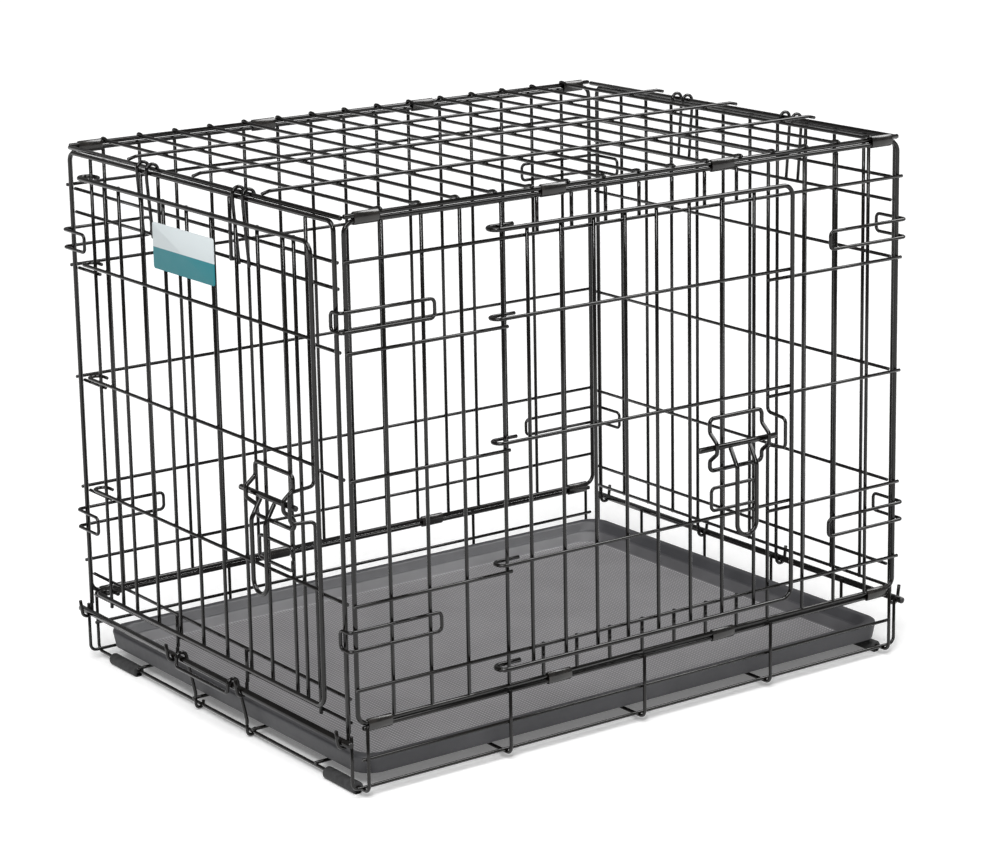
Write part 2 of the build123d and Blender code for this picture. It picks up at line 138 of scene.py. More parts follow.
# Black electro-coat on steel: a thin satin paint, a touch browner in patches, faintly orange-peeled
wireCoat = dict(name="coatedWire", dark="#080706", light="#110f0d", satin=(0.09, 0.16),
                patch=14, peel=1.2, gleam=0.4)
sheetCoat = dict(name="coatedSheet", dark="#141311", light="#262320", satin=(0.18, 0.28),
                 patch=9, peel=1.6, gleam=0.6)


def coatMaterial(coat):
    material, tree, shader, place = newMaterial(coat["name"])
    patch = addNode(tree, "TexNoise", {"Vector": place}, Scale=perMm(coat["patch"]), Detail=3.0)
    spread = addNode(tree, "MapRange", {"Value": patch.outputs["Fac"]}, From_Min=0.38, From_Max=0.66)
    tone = addNode(tree, "Mix", {"Factor": spread.outputs["Result"]}, data_type="RGBA",
                   A=linear(coat["dark"]), B=linear(coat["light"]))
    fine = addNode(tree, "TexNoise", {"Vector": place}, Scale=perMm(coat["patch"] / 2), Detail=4.0)
    satin = addNode(tree, "MapRange", {"Value": fine.outputs["Fac"]}, From_Min=0.3, From_Max=0.7,
                    To_Min=coat["satin"][0], To_Max=coat["satin"][1])
    peel = addNode(tree, "TexNoise", {"Vector": place}, Scale=perMm(coat["peel"]), Detail=2.0)
    relief = addNode(tree, "Bump", {"Height": peel.outputs["Fac"]}, Strength=0.06, Distance=0.0002)
    tree.links.new(tone.outputs["Result"], shader.inputs["Base Color"])
    tree.links.new(satin.outputs["Result"], shader.inputs["Roughness"])
    tree.links.new(relief.outputs["Normal"], shader.inputs["Normal"])
    shader.inputs["IOR"].default_value = 1.5
    shader.inputs["Specular IOR Level"].default_value = coat["gleam"]
    return material


# Moulded rubber sleeve: matt, dusty grey-black, with a fine grain from the mould
sleeveRubber = dict(dark="#2a2a2a", light="#3d3d3e", matt=(0.68, 0.86), cloud=6, grain=0.7)


def rubberMaterial(sleeve):
    material, tree, shader, place = newMaterial("sleeveRubber")
    cloud = addNode(tree, "TexNoise", {"Vector": place}, Scale=perMm(sleeve["cloud"]), Detail=4.0)
    spread = addNode(tree, "MapRange", {"Value": cloud.outputs["Fac"]}, From_Min=0.35, From_Max=0.65)
    tone = addNode(tree, "Mix", {"Factor": spread.outputs["Result"]}, data_type="RGBA",
                   A=linear(sleeve["dark"]), B=linear(sleeve["light"]))
    matt = addNode(tree, "MapRange", {"Value": cloud.outputs["Fac"]},
                   To_Min=sleeve["matt"][0], To_Max=sleeve["matt"][1])
    grain = addNode(tree, "TexNoise", {"Vector": place}, Scale=perMm(sleeve["grain"]), Detail=4.0)
    relief = addNode(tree, "Bump", {"Height": grain.outputs["Fac"]}, Strength=0.35, Distance=0.0003)
    tree.links.new(tone.outputs["Result"], shader.inputs["Base Color"])
    tree.links.new(matt.outputs["Result"], shader.inputs["Roughness"])
    tree.links.new(relief.outputs["Normal"], shader.inputs["Normal"])
    return material


# Moulded ABS pan of one plastic: drawn in a darker tone on the satin rim and walls, paler on the inside step
# where it faces up and paler still on the floor as painted light, with a basket emboss whose raised threads
# carry a painted highlight.
# The real emboss is about 2 mm; it is drawn at 3.2 mm so that it still shows.
# The floor's and the step's tones end at the heights floorTop and stepTop, in metres
# The wall tone is drawn darker and the floor tone paler, as painted shade and painted light on one plastic;
# the thread colour is a painted highlight on the emboss; the step share is how much of the paler floor tone
# is painted on the step's upward faces
panPlastic = dict(wall=("#37373a", "#454548"), floor=("#5f5e60", "#6c6b6d"), highlitThreads="#b4b2b4", emboss=3.2,
                  floorTop=0.01393, stepTop=0.0222, edge=0.0004, upwardLightShare=0.5, satin=(0.42, 0.6), cloud=60,
                  scuff=5)


def panMaterial(plastic):
    material, tree, shader, place = newMaterial("panPlastic")
    edge = plastic["edge"]
    height = addNode(tree, "SeparateXYZ", {"Vector": place}).outputs["Z"]
    onFloor = addNode(tree, "MapRange", {"Value": height}, From_Min=plastic["floorTop"] + edge,
                      From_Max=plastic["floorTop"] - edge).outputs["Result"]
    # Upward faces of the step get part of the paler floor tone: painted light from above
    facing = addNode(tree, "TexCoord").outputs["Normal"]
    upward = addNode(tree, "SeparateXYZ", {"Vector": facing}).outputs["Z"]
    inside = addNode(tree, "MapRange", {"Value": upward}, From_Min=0.1, From_Max=0.4,
                     To_Max=plastic["upwardLightShare"]).outputs["Result"]
    upwardStepLight = addNode(tree, "MapRange", {"Value": height, "To Max": inside},
                     From_Min=plastic["stepTop"] + edge, From_Max=plastic["stepTop"] - edge).outputs["Result"]
    # The emboss's raised threads drive the bump and are also painted paler, as a painted highlight
    highlitThreads = []
    for turn in (0, 90):
        mapping = addNode(tree, "Mapping", {"Vector": place}, Rotation=(0, 0, math.radians(turn)))
        bands = addNode(tree, "TexWave", {"Vector": mapping.outputs["Vector"]}, wave_type="BANDS",
                        bands_direction="X", Scale=perMm(plastic["emboss"]) * math.pi / 10)
        highlitThreads.append(bands.outputs["Fac"])
    weaveReliefAndHighlight = addNode(tree, "Math", {0: highlitThreads[0], 1: highlitThreads[1]}, operation="MULTIPLY").outputs["Value"]
    raised = addNode(tree, "Math", {0: weaveReliefAndHighlight, 1: onFloor}, operation="MULTIPLY").outputs["Value"]
    relief = addNode(tree, "Bump", {"Height": raised}, Strength=0.5, Distance=0.0005)
    cloud = addNode(tree, "TexNoise", {"Vector": place}, Scale=perMm(plastic["cloud"]), Detail=3.0)
    spread = addNode(tree, "MapRange", {"Value": cloud.outputs["Fac"]},
                     From_Min=0.35, From_Max=0.65).outputs["Result"]
    # Darker rim and wall tone against a paler floor tone: painted shade and painted light on one plastic
    wall = addNode(tree, "Mix", {"Factor": spread}, data_type="RGBA",
                   A=linear(plastic["wall"][0]), B=linear(plastic["wall"][1]))
    litFloorTone = addNode(tree, "Mix", {"Factor": spread}, data_type="RGBA",
                     A=linear(plastic["floor"][0]), B=linear(plastic["floor"][1]))
    highlitWeave = addNode(tree, "Mix", {"Factor": weaveReliefAndHighlight, "A": litFloorTone.outputs["Result"]}, data_type="RGBA",
                    B=linear(plastic["highlitThreads"]))
    side = addNode(tree, "Mix", {"Factor": upwardStepLight, "A": wall.outputs["Result"],
                                 "B": litFloorTone.outputs["Result"]}, data_type="RGBA")
    tone = addNode(tree, "Mix", {"Factor": onFloor, "A": side.outputs["Result"],
                                 "B": highlitWeave.outputs["Result"]}, data_type="RGBA")
    scuff = addNode(tree, "TexNoise", {"Vector": place}, Scale=perMm(plastic["scuff"]), Detail=4.0)
    satin = addNode(tree, "MapRange", {"Value": scuff.outputs["Fac"]},
                    To_Min=plastic["satin"][0], To_Max=plastic["satin"][1])
    tree.links.new(tone.outputs["Result"], shader.inputs["Base Color"])
    tree.links.new(satin.outputs["Result"], shader.inputs["Roughness"])
    tree.links.new(relief.outputs["Normal"], shader.inputs["Normal"])
    return material


# Coated card board, left blank: white above, teal below, a thin gloss film with a slight ripple
cardBoard = dict(teal="#2c848d", white="#dae2e4", meet=0.4158, edge=0.0001, gloss=(0.4, 0.5), ripple=10,
                 gleam=0.2)


def cardMaterial(board):
    material, tree, shader, place = newMaterial("cardBoard")
    height = addNode(tree, "SeparateXYZ", {"Vector": place}).outputs["Z"]
    half = addNode(tree, "MapRange", {"Value": height}, From_Min=board["meet"] - board["edge"],
                   From_Max=board["meet"] + board["edge"])
    tone = addNode(tree, "Mix", {"Factor": half.outputs["Result"]}, data_type="RGBA",
                   A=linear(board["teal"]), B=linear(board["white"]))
    ripple = addNode(tree, "TexNoise", {"Vector": place}, Scale=perMm(board["ripple"]), Detail=3.0)
    gloss = addNode(tree, "MapRange", {"Value": ripple.outputs["Fac"]},
                    To_Min=board["gloss"][0], To_Max=board["gloss"][1])
    relief = addNode(tree, "Bump", {"Height": ripple.outputs["Fac"]}, Strength=0.02, Distance=0.0002)
    shader.inputs["Specular IOR Level"].default_value = board["gleam"]
    tree.links.new(tone.outputs["Result"], shader.inputs["Base Color"])
    tree.links.new(gloss.outputs["Result"], shader.inputs["Roughness"])
    tree.links.new(relief.outputs["Normal"], shader.inputs["Normal"])
    return material


coatedWire, coatedSheet = coatMaterial(wireCoat), coatMaterial(sheetCoat)
rubber, plastic, board = rubberMaterial(sleeveRubber), panMaterial(panPlastic), cardMaterial(cardBoard)
print("materials made")


# Wires: one curve per node, drawn as round tubes with slightly sheared ends
wireTube = dict(rounding=3, trim=0.22, taper=0.78)


def wireMesh(name, wires):
    curve = bpy.data.curves.new(name, "CURVE")
    curve.dimensions = "3D"
    curve.bevel_depth = mm
    curve.bevel_resolution = wireTube["rounding"]
    curve.use_fill_caps = True
    for route, radius in wires:
        first, last = (route[1] - route[0]).normalized(), (route[-1] - route[-2]).normalized()
        trim = wireTube["trim"] * radius
        route = [route[0], route[0] + first * trim] + route[1:-1] + [route[-1] - last * trim, route[-1]]
        spline = curve.splines.new("POLY")
        spline.points.add(len(route) - 1)
        for point, spot in zip(spline.points, route):
            point.co = (*(spot * mm), 1)
            point.radius = radius
        for end in (0, -1):
            spline.points[end].radius = radius * wireTube["taper"]
    holder = bpy.data.objects.new(name + "Path", curve)
    scene.collection.objects.link(holder)
    bpy.context.view_layer.update()
    mesh = bpy.data.meshes.new_from_object(holder.evaluated_get(bpy.context.evaluated_depsgraph_get()))
    bpy.data.objects.remove(holder)
    mesh.name = name
    return mesh


def addPiece(name, mesh, material, body, *nodes):
    mesh.transform(Matrix.Translation((originX * mm, originY * mm, 0)))
    piece = bpy.data.objects.new(name, mesh)
    scene.collection.objects.link(piece)
    mesh.materials.clear()
    mesh.materials.append(material)
    for face in mesh.polygons:
        face.use_smooth = True
    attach(piece, body)
    if nodes:
        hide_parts(*nodes)


def sized(routes, radius):
    return [(route, radius) for route in routes]


# Long sides: a bent frame, and an upright with a staple bent out of it for the bolt
longFrame = dict(bend=9, seam=0.02)
staple = dict(below=12.5, above=17.5, slant=2, reach=23.5, bend=4.5)


def panelFrame(wall):
    low, high, seam = lowBarZ, highBarZ, longFrame["seam"]
    corners = [(seam, low), (postX, low), (postX, high), (-postX, high), (-postX, low), (-seam, low)]
    return sized([onWall(wall, rounded([(u, v, frameOut) for u, v in corners], longFrame["bend"]))], frameR)


def jamb(wall, spot, low, high):
    reach, slant = staple["reach"], staple["slant"]
    bottom, top = boltZ - staple["below"], boltZ + staple["above"]
    jog = [(low, 0), (bottom, 0), (bottom + slant, reach), (top - slant, reach), (top, 0), (high, 0)]
    return onWall(wall, rounded([(spot, v, n) for v, n in jog], staple["bend"]))


# Corner loops reach round the posts; the pair beside the end door's free edge is shallow, to clear it
cornerLoop = dict(levels=(128, 388.5), tall=16, beyond=4.3, tail=240, inner=209, deep=35.5, shallow=10,
                  bend=4.2)


def cornerLoops(wall):
    loop, routes, outer = cornerLoop, [], endX + cornerLoop["beyond"]
    for hand in (-1, 1):
        back = -loop["shallow"] if wall == "side" and hand == -1 else -loop["deep"]
        for low in loop["levels"]:
            high = low + loop["tall"]
            stops = [(-loop["tail"], high, barOut), (-outer, high, barOut), (-outer, high, back),
                     (-outer, low, back), (-outer, low, barOut), (-loop["inner"], low, barOut),
                     (-loop["inner"], high, barOut), (-loop["tail"] - hair, high, barOut)]
            routes.append(onWall(wall, rounded([(-hand * u, v, n) for u, v, n in stops], loop["bend"])))
    return sized(routes, barR)


# Doors: a frame and crossbars that hook round the hinge upright, with uprights behind them
sideDoor = dict(hinge=-140.5, jamb=140.5, edge=159, low=83.5, high=453, hook=6.9, tail=14.5,
                spots=[-120, -86, -52.5, -20, 13, 48, 83, 119])
frontDoor = dict(hinge=-178.5, jamb=175, edge=197, low=75, high=457, hook=1.5, tail=6.0,
                 spots=[-143, -117.5, -78.5, -40, -1, 39, 78, 112, 151, 167])
doorCorner = dict(bend=10, steps=10)


def hingeHook(door, height, radius, out):
    back = -(uprightR + slack + radius)
    bend = arc((door["hinge"] - door["hook"], (out + back) / 2), (out - back) / 2, -90, -270)
    return [(door["hinge"] + door["tail"], height, back)] + [(u, height, n) for u, n in bend]


def doorFrame(wall, door):
    out = doorFace + frameR
    top, bottom = [hingeHook(door, height, frameR, out) for height in (door["high"], door["low"])]
    corners = [top[-1], (door["edge"], door["high"], out), (door["edge"], door["low"], out), bottom[-1]]
    edge = rounded(corners, doorCorner["bend"], doorCorner["steps"])
    return sized([onWall(wall, top + edge[1:-1] + bottom[::-1])], frameR)


def doorUprights(wall, door):
    return sized(uprights(wall, door["spots"], door["low"] - lap, door["high"] + lap, doorUpOut), uprightR)


def doorCrossbars(wall, door):
    out, end = doorFace + barR, door["edge"] - frameR - hair
    return sized([onWall(wall, hingeHook(door, height, barR, out) + [(end, height, out)])
                  for height in doorBars], barR)


# Latches: a guide loop with two bows over the bolt, a small open loop for the handle to rest on,
# and a hairpin handle that hangs from the bolt. Places along the wall are back from the jamb
guideLoop = dict(left=73.5, right=15.5, low=215, high=261, bowFoot=12.5, bowTop=4.5, bend=4.4)
restLoop = dict(left=71.5, right=20.5, low=179, high=199, ends=(191, 188), bend=4)
hairpin = dict(left=56, right=34.5, hang=10.75, lean=(-0.84, 0.54), knee=18, straight=190, turn=168,
               bend=6, steps=18)
boltRod = dict(left=89.5, right=3.5)


def latchGuide(wall, door):
    loop, out, bowOut = guideLoop, doorFace + guideR, boltOut + boltR + slack + guideR
    left, right = door["jamb"] - loop["left"], door["jamb"] - loop["right"]
    low, high = loop["low"], loop["high"]
    middle = (left + right) / 2
    bow = [(boltZ - loop["bowFoot"], out), (boltZ - loop["bowTop"], bowOut),
           (boltZ + loop["bowTop"], bowOut), (boltZ + loop["bowFoot"], out)]
    route = [(middle, low, out), (right, low, out)] + [(right, v, n) for v, n in bow]
    route += [(right, high, out), (left, high, out)] + [(left, v, n) for v, n in bow[::-1]]
    route += [(left, low, out), (middle - hair, low, out)]
    return sized([onWall(wall, rounded(route, loop["bend"]))], guideR)


def latchRest(wall, door):
    rest, out = restLoop, doorFace + barR
    left, right = door["jamb"] - rest["left"], door["jamb"] - rest["right"]
    low, high = rest["low"], rest["high"]
    first, last = rest["ends"]
    route = [(right, first), (right, high), (left, high), (left, low), (right, low), (right, last)]
    return sized([onWall(wall, rounded([(u, v, out) for u, v in route], rest["bend"]))], barR)


def boltHandle(wall, door):
    pin = hairpin
    left, right, hang = door["jamb"] - pin["left"], door["jamb"] - pin["right"], boltOut + pin["hang"]
    lean = Vector(pin["lean"]).normalized() * (boltR + hair)
    start, knee = (boltZ + lean[0], boltOut + lean[1]), (boltZ - pin["knee"], hang)
    legs = [rounded([(spot, *start), (spot, *knee), (spot, pin["straight"], hang)], pin["bend"])
            for spot in (left, right)]
    turn = arc(((left + right) / 2, pin["turn"]), (right - left) / 2, 180, 360, pin["steps"])
    return sized([onWall(wall, legs[0] + [(u, v, hang) for u, v in turn] + legs[1][::-1])], handleR)


def slideBolt(wall, door):
    left, right = door["jamb"] - boltRod["left"], door["jamb"] - boltRod["right"]
    return sized(crossbars(wall, [boltZ], left, right, boltOut), boltR)


# End panels: a frame, hooks that hang it on the top's end rail, and feet that spring under the sill rail
endPost = dict(foot=56, bend=8)
hangHook = dict(spots=(-87, -71, 71, 87), foot=419, shoulder=5, radius=5.6, drop=1.0, tip=3.5)
springHook = dict(start=(55.97, 0.8), play=0.4, tip=61, flare=1.5)


def endFrame(wall):
    foot = endPost["foot"]
    corners = [(-postY, foot), (-postY, endTopZ), (postY, endTopZ), (postY, foot)]
    return sized([onWall(wall, rounded([(u, v, endFrameOut) for u, v in corners], endPost["bend"]))], frameR)


def hangHooks(wall):
    hook, radius, reach = hangHook, hangHook["radius"], endFrameOut + frameR + barR + hair
    over = [(v, n) for n, v in arc((reach - radius, endRailZ - hook["drop"]), radius, 0, 180)]
    route = [(hook["foot"], 0), (endTopZ - hook["shoulder"], reach)] + over
    route += [(endRailZ - hook["tip"], reach - 2 * radius)]
    return sized([onWall(wall, [(spot, v, n) for v, n in route]) for spot in hook["spots"]], barR)


def springHooks(wall):
    hook, centre, radius = springHook, (sillX - endX, sillZ), sillR + springHook["play"] + uprightR
    curl = [(v, n) for n, v in arc(centre, radius, 180, 360)]
    route = [hook["start"]] + curl + [(hook["tip"], centre[0] + radius + hook["flare"])]
    spots = (-postY, *legSpots, postY)
    return sized([onWall(wall, [(spot, v, n) for v, n in route]) for spot in spots], uprightR)


# Bottom tray: cross wires turned up at the long sides, and long wires turned up to the sill rails
trayWire = dict(bend=6, overRail=2, outer=(-221.5, 221.5), outerOver=5, inner=(-150, -50, 50, 150),
                innerOver=3, innerStart=3)


def trayCross():
    reach, top = sideY + uprightR + barR + hair, lowRailZ + trayWire["overRail"]
    sweep = [(-reach, top), (-reach, floorZ), (reach, floorZ), (reach, top)]
    spots = [crossStep * step for step in range(-2, 3)]
    return sized([rounded([(x, y, z) for y, z in sweep], trayWire["bend"]) for x in spots], barR)


def trayLong():
    tray, level, turn = trayWire, floorZ + 2 * barR + hair, sillX - sillR - barR - hair
    start, top = -2 * crossStep - tray["innerStart"], sillZ + tray["outerOver"]
    innerTop = sillZ + tray["innerOver"]
    outer = [(-turn, top), (-turn, level), (turn, level), (turn, top)]
    inner = [(start, level), (turn, level), (turn, innerTop)]
    sweeps = [(outer, y) for y in tray["outer"]] + [(inner, y) for y in tray["inner"]]
    return sized([rounded([(x, y, z) for x, z in sweep], tray["bend"]) for sweep, y in sweeps], barR)


# Pan stop: one wire that hangs over the front sill rail, with springy tips round the front cross wire
stopWire = dict(half=43.5, behind=3.75, foot=12, knee=16, bend=9, over=5.05, rise=1, drop=2,
                lipOut=5.6, lipDown=6, lipBend=3.2)
tipWire = dict(start=11.97, radius=3.75, tail=2, thick=1.4)


def panStop():
    stop, half, crest = stopWire, stopWire["half"], sillZ + stopWire["rise"]
    stopX, lipX, lipZ = -2 * crossStep - stop["behind"], -sillX - stop["lipOut"], sillZ - stop["lipDown"]
    over = arc((-sillX, crest), stop["over"], 0, 180)
    down = rounded([(stopX, stop["foot"], 0), (stopX, stop["knee"], 0), (over[0][0], crest, 0)], stop["bend"])
    arm = [(x, z) for x, z, _ in down[:-1]] + over[:-1] + [(over[-1][0], sillZ - stop["drop"])]
    armX, armZ = arm[-1]
    lip = rounded([(armX, half, armZ), (lipX, half, lipZ), (lipX, -half, lipZ), (armX, -half, armZ)],
                  stop["lipBend"])
    route = [Vector((x, half, z)) for x, z in arm] + lip[1:-1] + [Vector((x, -half, z)) for x, z in arm[::-1]]
    return sized([route], uprightR)


def panStopTips():
    frontX, radius, half = -2 * crossStep, tipWire["radius"], stopWire["half"]
    route = [(frontX - radius, tipWire["start"])] + arc((frontX, floorZ), radius, 180, 360)
    route += [(frontX + radius, floorZ + tipWire["tail"])]
    return sized([[Vector((x, y, z)) for x, z in route] for y in (-half, half)], tipWire["thick"])


# Top: long wires whose tips dip onto the end rails, and cross wires that lap over the side rails
topTip = dict(beyond=3.2, over=3.6, run=8, bend=6)
topLap = dict(points=((-9, 0), (-3, 1.5), (0.6, 1.6), (2, 0.4)), bend=2.2, steps=4)


def topLong():
    tipX, tipZ = endRailX + topTip["beyond"], endRailZ + topTip["over"]
    flatX = tipX - topTip["run"]
    sweep = [(-tipX, tipZ), (-flatX, topHigh), (flatX, topHigh), (tipX, tipZ)]
    return sized([rounded([(x, y, z) for x, z in sweep], topTip["bend"]) for y in topSpots], barR)


def topCross():
    lap = [(railY + y, topLow + z) for y, z in topLap["points"]]
    sweep = [(-y, z) for y, z in lap[::-1]] + lap
    return sized([rounded([(x, y, z) for y, z in sweep], topLap["bend"], topLap["steps"])
                  for x in gridSteps], barR)


def rail(x, z, half, radius):
    return [([Vector((x, -half, z)), Vector((x, half, z))], radius)]


def along(z, half, ys, radius):
    return [([Vector((-half, y, z)), Vector((half, y, z))], radius) for y in ys]


base, crown, endCrown = lowBarZ + frameR + hair, highBarZ - frameR - hair, endTopZ - frameR - hair
barEnd, rowEnd, rowFoot = postX + barPast, postY - 0.5, 61
sillHalf, endRailHalf, trayRailZ, trayRailHalf, hingeRailHalf = 228, 222.07, 33.7, 287.5, 285.5
trayRailY = sideY + 0.06
sideSpots = [-255.5, -218, -181, 181, 218, 255.5]
rearSpots = [sign * 39.15 * step for step in (0.5, 2.5, 3.5, 4.5) for sign in (-1, 1)]
sideRows, endRows = [headerZ, *sideBars, sideSillZ], [442, 421, 84, 64]

wirePieces = [
    dict(node="tray_cross_wires", body="crate", wires=trayCross()),
    dict(node="tray_long_wires", body="crate", wires=trayLong()),
    dict(node="tray_side_rails", body="crate",
         wires=along(trayRailZ, trayRailHalf, (-trayRailY, trayRailY), barR)
         + along(lowRailZ, hingeRailHalf, (-railY, railY), frameR)),
    dict(node="tray_front_sill_rail", body="crate", wires=rail(-sillX, sillZ, sillHalf, sillR)),
    dict(node="tray_rear_sill_rail", body="crate", wires=rail(sillX, sillZ, sillHalf, sillR)),
    dict(node="side_frame", body="crate", wires=panelFrame("side")),
    dict(node="side_uprights", body="crate",
         wires=sized(uprights("side", sideSpots, base, crown)
                     + uprights("side", sideInner, base, sideSillZ + lap)
                     + uprights("side", sideInner, headerZ - lap, crown), uprightR)),
    dict(node="side_jamb", body="crate",
         wires=sized([jamb("side", sideDoor["jamb"], base, crown)], uprightR)),
    dict(node="side_hinge_upright", body="crate",
         wires=sized(uprights("side", [sideDoor["hinge"]], base, crown), uprightR)),
    dict(node="side_crossbars", body="crate",
         wires=sized(crossbars("side", [headerZ, sideSillZ], -barEnd, barEnd, barOut)
                     + crossbars("side", sideBars, -barEnd, sideDoor["hinge"] + barPast, barOut)
                     + crossbars("side", sideBars, sideDoor["jamb"] - barPast, barEnd, barOut), barR)),
    dict(node="side_corner_loops", body="crate", wires=cornerLoops("side")),
    dict(node="back_frame", body="crate", wires=panelFrame("back")),
    dict(node="back_uprights", body="crate", wires=sized(uprights("back", gridSteps, base, crown), uprightR)),
    dict(node="back_crossbars", body="crate",
         wires=sized(crossbars("back", sideRows, -barEnd, barEnd, barOut), barR)),
    dict(node="back_corner_loops", body="crate", wires=cornerLoops("back")),
    dict(node="top_side_rails", body="crate", wires=along(highRailZ, postX, (-railY, railY), frameR)),
    dict(node="top_cross_wires", body="crate", wires=topCross()),
    dict(node="top_long_wires", body="crate", wires=topLong()),
    dict(node="top_front_rail", body="crate", wires=rail(-endRailX, endRailZ, endRailHalf, frameR)),
    dict(node="top_rear_rail", body="crate", wires=rail(endRailX, endRailZ, endRailHalf, frameR)),
    dict(node="front_frame", body="front_panel", wires=endFrame("front")),
    dict(node="front_uprights", body="front_panel",
         wires=sized(uprights("front", legSpots, endRows[1] - lap, endCrown)
                     + uprights("front", legSpots, endPost["foot"], endRows[2] + lap), uprightR)),
    dict(node="front_jamb", body="front_panel",
         wires=sized([jamb("front", frontDoor["jamb"], rowFoot, endCrown)], uprightR)),
    dict(node="front_hinge_upright", body="front_panel",
         wires=sized(uprights("front", [frontDoor["hinge"]], rowFoot, endCrown), uprightR)),
    dict(node="front_crossbars", body="front_panel",
         wires=sized(crossbars("front", endRows, -rowEnd, rowEnd, -barOut)
                     + crossbars("front", endBars, -rowEnd, frontDoor["hinge"] + barPast, -barOut)
                     + crossbars("front", endBars, frontDoor["jamb"] - barPast, rowEnd, -barOut), barR)),
    dict(node="front_hang_hooks", body="front_panel", wires=hangHooks("front")),
    dict(node="front_spring_hooks", body="front_panel", wires=springHooks("front")),
    dict(node="rear_frame", body="rear_panel", wires=endFrame("rear")),
    dict(node="rear_uprights", body="rear_panel",
         wires=sized(uprights("rear", rearSpots, rowFoot, endCrown)
                     + uprights("rear", legSpots, endPost["foot"], endCrown), uprightR)),
    dict(node="rear_crossbars", body="rear_panel",
         wires=sized(crossbars("rear", endRows + endBars, -rowEnd, rowEnd, -barOut), barR)),
    dict(node="rear_hang_hooks", body="rear_panel", wires=hangHooks("rear")),
    dict(node="rear_spring_hooks", body="rear_panel", wires=springHooks("rear")),
    dict(node="side_door_frame", body="side_door", wires=doorFrame("side", sideDoor)),
    dict(node="side_door_uprights", body="side_door", wires=doorUprights("side", sideDoor)),
    dict(node="side_door_bars", body="side_door", wires=doorCrossbars("side", sideDoor)),
    dict(node="side_latch_guide", body="side_door", wires=latchGuide("side", sideDoor)),
    dict(node="side_latch_rest", body="side_door", wires=latchRest("side", sideDoor)),
    dict(node="side_bolt", body="side_latch", wires=slideBolt("side", sideDoor)),
    dict(node="side_bolt_handle", body="side_latch", wires=boltHandle("side", sideDoor)),
    dict(node="front_door_frame", body="front_door", wires=doorFrame("front", frontDoor)),
    dict(node="front_door_uprights", body="front_door", wires=doorUprights("front", frontDoor)),
    dict(node="front_door_bars", body="front_door", wires=doorCrossbars("front", frontDoor)),
    dict(node="front_latch_guide", body="front_door", wires=latchGuide("front", frontDoor)),
    dict(node="front_latch_rest", body="front_door", wires=latchRest("front", frontDoor)),
    dict(node="front_bolt", body="front_latch", wires=slideBolt("front", frontDoor)),
    dict(node="front_bolt_handle", body="front_latch", wires=boltHandle("front", frontDoor)),
    dict(node="pan_stop", body="pan_stop", wires=panStop()),
    dict(node="pan_stop_tips", body="pan_stop", wires=panStopTips()),
]


def camel(node):
    words = node.split("_")
    return words[0] + "".join(word.capitalize() for word in words[1:])


for spec in wirePieces:
    name = camel(spec["node"]) + "Wire"
    addPiece(name, wireMesh(name, spec["wires"]), coatedWire, spec["body"], spec["node"])
print("wires made")


sharpTurn = 1.2  # radians between two faces, past which their edge is a corner


def finished(shape, name, place=None, sharp=38):
    if place:
        bmesh.ops.transform(shape, matrix=place, verts=shape.verts)
    bmesh.ops.scale(shape, vec=(mm, mm, mm), verts=shape.verts)
    mesh = bpy.data.meshes.new(name)
    shape.to_mesh(mesh)
    shape.free()
    mesh.set_sharp_from_angle(angle=math.radians(sharp))
    return mesh


def vertsIn(geometry):
    return [item for item in geometry if isinstance(item, bmesh.types.BMVert)]


def edgesIn(geometry):
    return [item for item in geometry if isinstance(item, bmesh.types.BMEdge)]


def softened(shape, geometry, offset, segments, affect="EDGES"):
    bmesh.ops.bevel(shape, geom=geometry, offset=offset, offset_type="OFFSET", segments=segments, profile=0.5,
                    affect=affect, material=-1)


# Clips: an oval barrel of sheet wrapped round both rails of a hinge line, its edges meeting low outside
clipSheet = dict(wide=3.2, tall=5.35, sheet=0.85, seam=-62, gap=9, facets=34, soft=0.22,
                 lengths={-269.8: 23, -89: 24, 89: 24, 269.8: 23})


def wrapClip(shape, clip, spot, length):
    first, radius = math.radians(clip["seam"] + clip["gap"] / 2), clip["wide"]
    start = [shape.verts.new((spot + end * length / 2, radius * math.cos(first), radius * math.sin(first)))
             for end in (-1, 1)]
    edge = shape.edges.new(start)
    bmesh.ops.spin(shape, geom=[edge, *start], cent=(0, 0, 0), axis=(1, 0, 0),
                   angle=math.radians(360 - clip["gap"]), steps=clip["facets"], use_merge=False)


def clipMesh(name, wall, height, clip):
    origin, along, out = walls[wall]
    shape = bmesh.new()
    for spot, length in clip["lengths"].items():
        wrapClip(shape, clip, spot, length)
    bmesh.ops.scale(shape, vec=(1, 1, clip["tall"] / clip["wide"]), verts=shape.verts)
    bmesh.ops.recalc_face_normals(shape, faces=shape.faces)
    bmesh.ops.solidify(shape, geom=shape.faces[:], thickness=clip["sheet"])
    ends = [edge for edge in shape.edges if edge.calc_face_angle(0) > sharpTurn]
    softened(shape, ends, clip["soft"], 2)
    turn = Matrix((-along, out, Vector((0, 0, 1)))).transposed().to_4x4()
    return finished(shape, name, Matrix.Translation(origin + out * frameOut + Vector((0, 0, height))) @ turn)


clipLevels = {"low": (lowRailZ + lowBarZ) / 2, "high": (highRailZ + highBarZ) / 2}
for wall in ("side", "back"):
    for level, height in clipLevels.items():
        name = wall + level.capitalize() + "ClipSheet"
        addPiece(name, clipMesh(name, wall, height, clipSheet), coatedSheet, "crate", f"{wall}_{level}_clips")
print("clips made")


# Feet: round rubber sleeves on the end cross wires, worn flat underneath, with softened ends and a bore
footSleeve = dict(long=46, wide=5.5, tall=5.4, centre=4.9, facets=40, soft=1.1, border=2.7, lift=0.9, deep=4)
footSpots = [(x, y) for x in (-2 * crossStep, 2 * crossStep) for y in (-188, 176)]
endOn, offFloor = 0.9, 0.1  # how square to an end a face is, and how far above the flat an edge is


